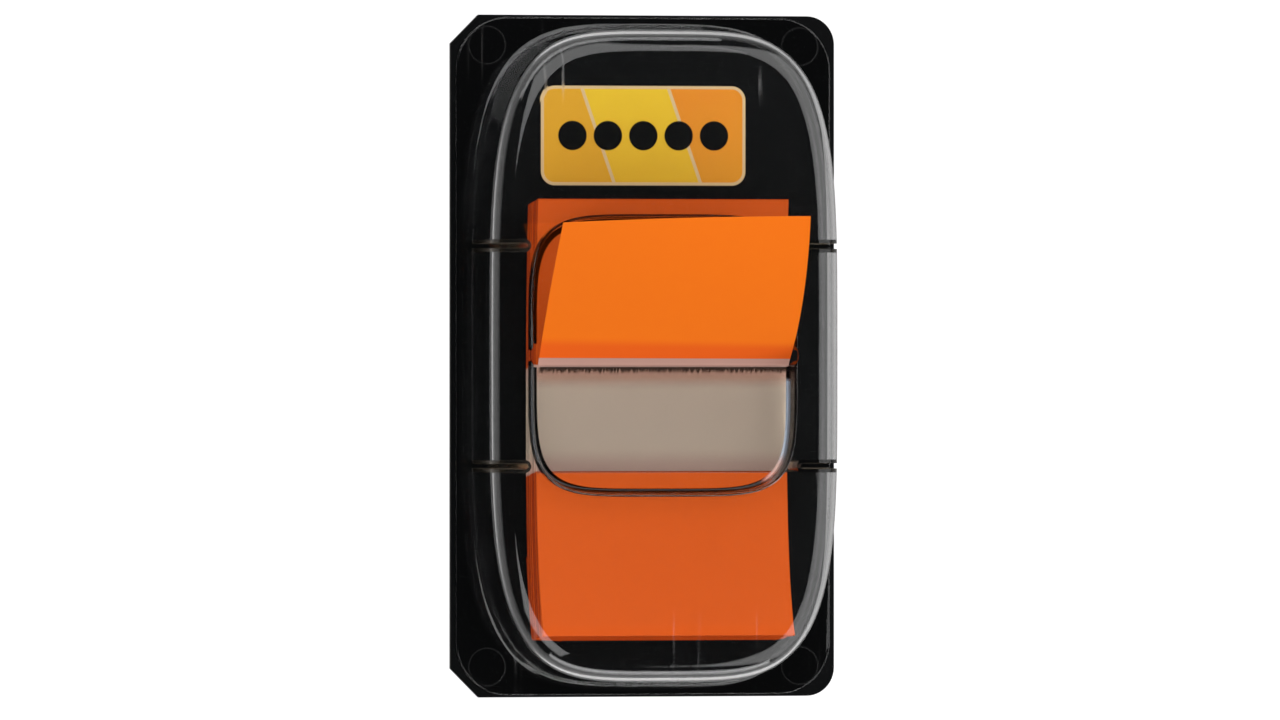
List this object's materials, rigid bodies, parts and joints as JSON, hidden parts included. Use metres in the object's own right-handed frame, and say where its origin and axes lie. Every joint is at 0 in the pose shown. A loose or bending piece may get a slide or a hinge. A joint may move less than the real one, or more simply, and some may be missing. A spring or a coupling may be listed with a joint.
{
  "type": "pop-up dispenser of film index flags",
  "caption": "Black card with a clear formed cover that holds a pad of orange film index flags, with one flag popped up through the slot.",
  "frame": {"origin": "middle of the backing card's underside", "axes": "+Z out of the clear cover, +Y along the card to its top end, +X to the right seen from the front"},
  "size_m": [0.039, 0.0672, 0.017],
  "materials": {
    "black_card": "coated black board, satin",
    "clear_sheet": "clear formed plastic sheet, glossy",
    "liner_paper": "plain liner paper",
    "pad_film": "stack of film flags, orange ends and milky clear middle",
    "flag_film": "film, orange at one end and milky clear at the other",
    "popped_film": "film, bright orange at one end and milky clear at the other"
  },
  "bodies": {
    "root": {"backing_card": "black_card", "clear_cover": "clear_sheet", "pad_liner": "liner_paper", "flag_pad": "pad_film", "next_flag": "flag_film", "popped_flag": "popped_film"}
  },
  "joints": []
}
